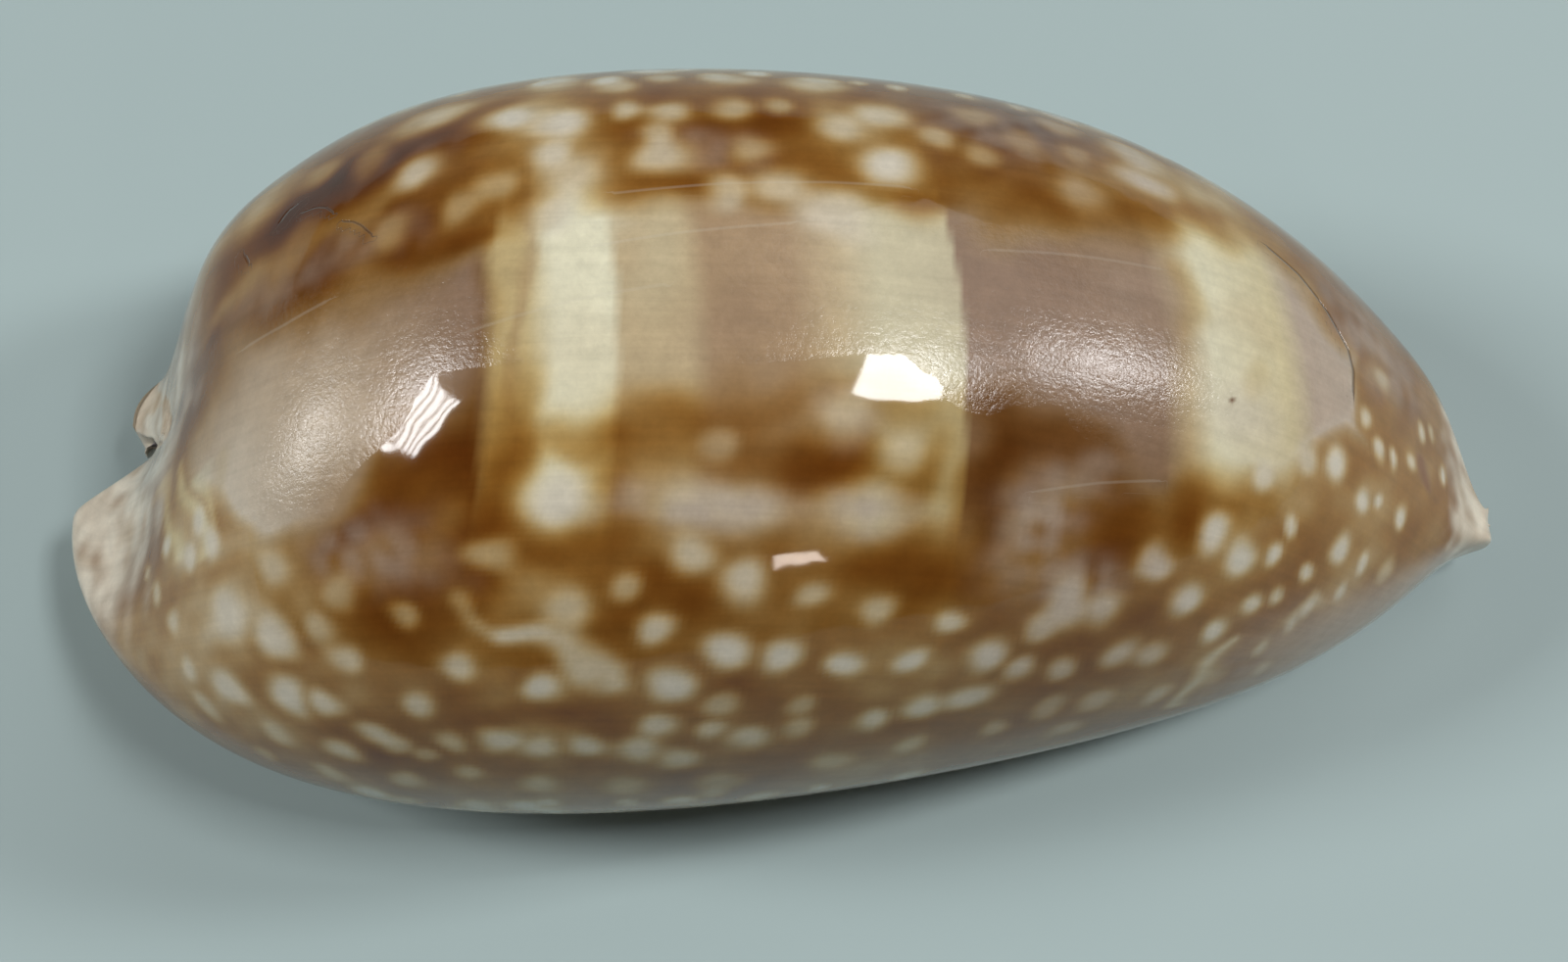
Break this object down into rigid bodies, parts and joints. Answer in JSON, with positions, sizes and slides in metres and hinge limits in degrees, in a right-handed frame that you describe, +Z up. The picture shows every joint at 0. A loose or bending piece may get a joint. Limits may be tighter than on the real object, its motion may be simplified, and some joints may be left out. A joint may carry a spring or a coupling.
{
  "type": "zebra cowrie shell",
  "caption": "Long egg-shaped sea shell with a glossy spotted back, resting on its underside, which is open along a narrow toothed slit into a hollow chamber.",
  "frame": {"origin": "on the surface that the shell rests on, under the middle of its box", "axes": "+X from the posterior (spire) end to the anterior end, -Y towards the side of the outer lip, +Z up out of the back"},
  "size_m": [0.0853, 0.0422, 0.0349],
  "materials": {
    "shell": "glossy enamel, brown with pale round spots and hazy paler bands over the back; the middle of the back is duller and slightly worn"
  },
  "bodies": {
    "root": {"shell": "shell"}
  },
  "joints": []
}
